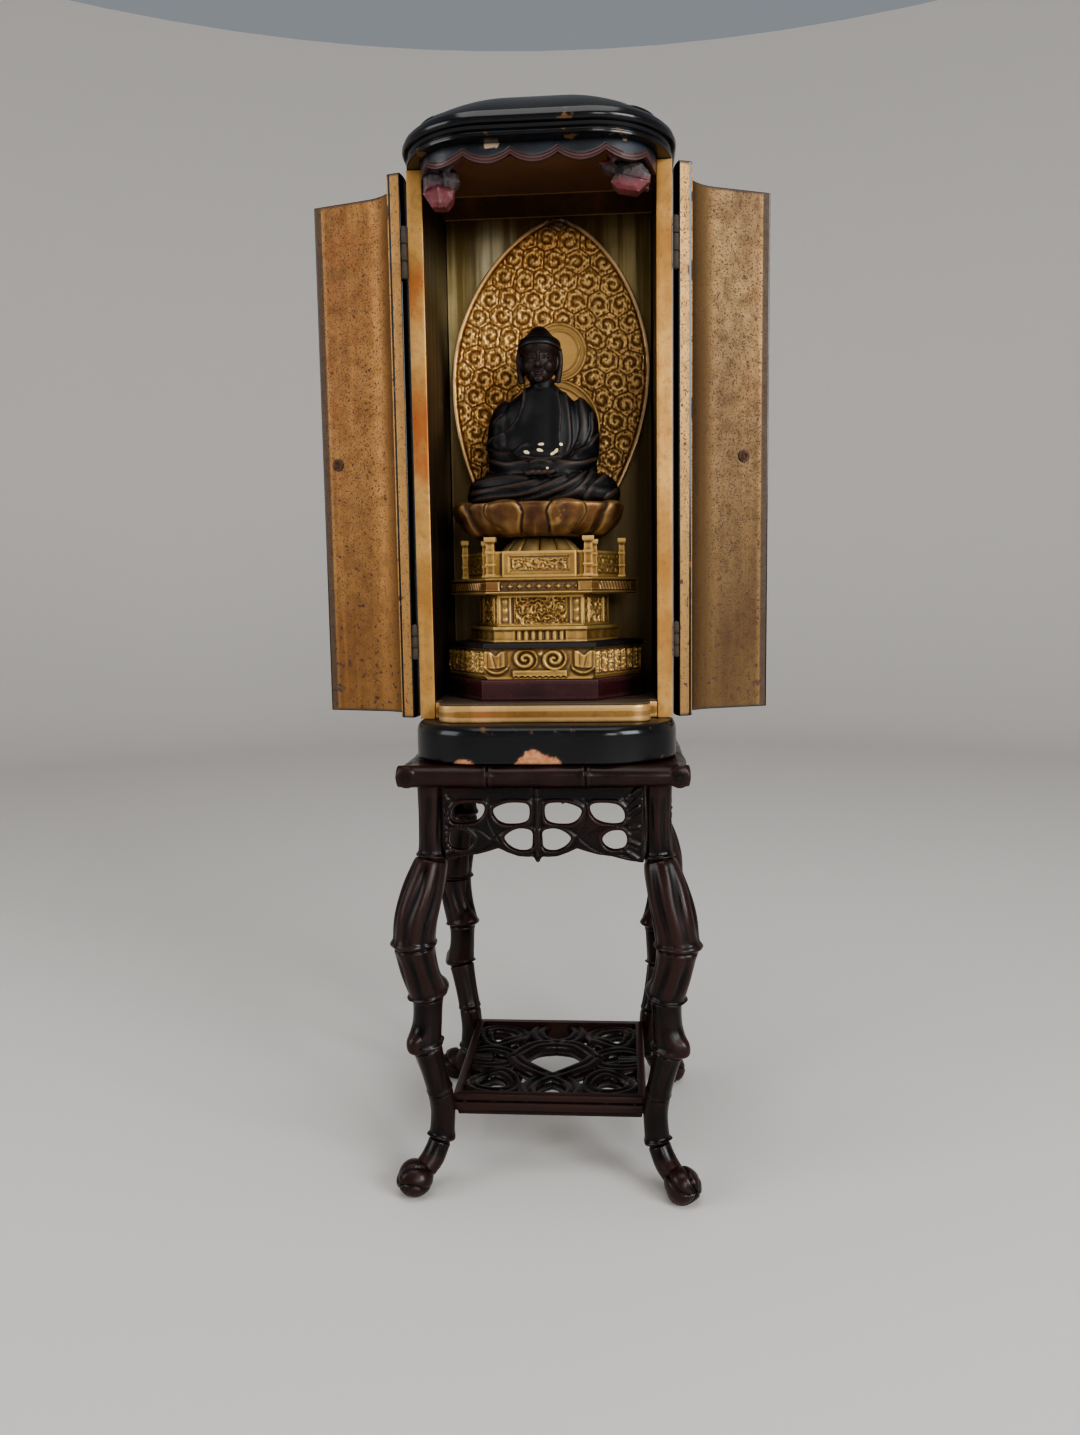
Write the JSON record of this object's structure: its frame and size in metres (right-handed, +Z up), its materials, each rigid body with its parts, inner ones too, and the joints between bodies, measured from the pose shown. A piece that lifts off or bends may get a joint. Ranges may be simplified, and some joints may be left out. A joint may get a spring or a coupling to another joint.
{
  "type": "folding shrine box",
  "caption": "Round-cornered lacquered shrine cabinet with hinged curved doors, a seated figure on a tiered dais before a leaf-shaped mandorla, on a carved bamboo-form stand.",
  "frame": {"origin": "on the floor, under the middle of the four-legged stand", "axes": "+Z up, the open shrine faces -Y, +X to the viewer's right"},
  "size_m": [0.2723, 0.1734, 0.6166],
  "materials": {
    "hardwood": "carved, dark reddish brown, waxed",
    "black_lacquer": "glossy black lacquer over wood",
    "gilding": "worn gold leaf over wood",
    "dais_gilding": "aged gold over carved wood",
    "maroon_lacquer": "satin maroon lacquer",
    "crimson_paint": "worn crimson paint",
    "navy_paint": "dark blue-black paint with a red-brown edge",
    "ceiling_lacquer": "dark red-brown lacquer",
    "figure_lacquer": "dark patinated lacquer",
    "hinge_iron": "darkened iron"
  },
  "bodies": {
    "cabinet": {"cabinet_base": "black_lacquer", "cabinet_body": "black_lacquer", "cabinet_ceiling": "ceiling_lacquer", "cabinet_floor": "gilding", "cabinet_roof": "black_lacquer", "dais_calyx": "dais_gilding", "dais_lower_tier": "dais_gilding", "dais_plate": "dais_gilding", "dais_plinth": "maroon_lacquer", "dais_step": "dais_gilding", "dais_upper_tier": "dais_gilding", "dais_waist": "dais_gilding", "left_cloud_bracket": "crimson_paint", "left_lower_hinge_frame": "hinge_iron", "left_upper_hinge_frame": "hinge_iron", "lotus_seat": "gilding", "mandorla": "gilding", "right_cloud_bracket": "crimson_paint", "right_lower_hinge_frame": "hinge_iron", "right_upper_hinge_frame": "hinge_iron", "seated_figure": "figure_lacquer", "stand_apron_back": "hardwood", "stand_apron_front": "hardwood", "stand_apron_left": "hardwood", "stand_apron_right": "hardwood", "stand_leg_back_left": "hardwood", "stand_leg_back_right": "hardwood", "stand_leg_front_left": "hardwood", "stand_leg_front_right": "hardwood", "stand_shelf": "hardwood", "stand_top": "hardwood", "valance": "navy_paint"},
    "left_leaf": {"left_door": "black_lacquer", "left_door_pull": "hinge_iron", "left_upper_hinge_door": "hinge_iron", "left_lower_hinge_door": "hinge_iron"},
    "right_leaf": {"right_door": "black_lacquer", "right_door_pull": "hinge_iron", "right_upper_hinge_door": "hinge_iron", "right_lower_hinge_door": "hinge_iron"}
  },
  "joints": [
    {"name": "left_door_hinge", "type": "hinge", "parent": "cabinet", "child": "left_leaf", "pos_m": [-0.075, -0.04085, 0.43], "axis": [0, 0, 1], "range_deg": [-8, 196]},
    {"name": "right_door_hinge", "type": "hinge", "parent": "cabinet", "child": "right_leaf", "pos_m": [0.075, -0.04085, 0.43], "axis": [0, 0, 1], "range_deg": [-202, 2]}
  ]
}
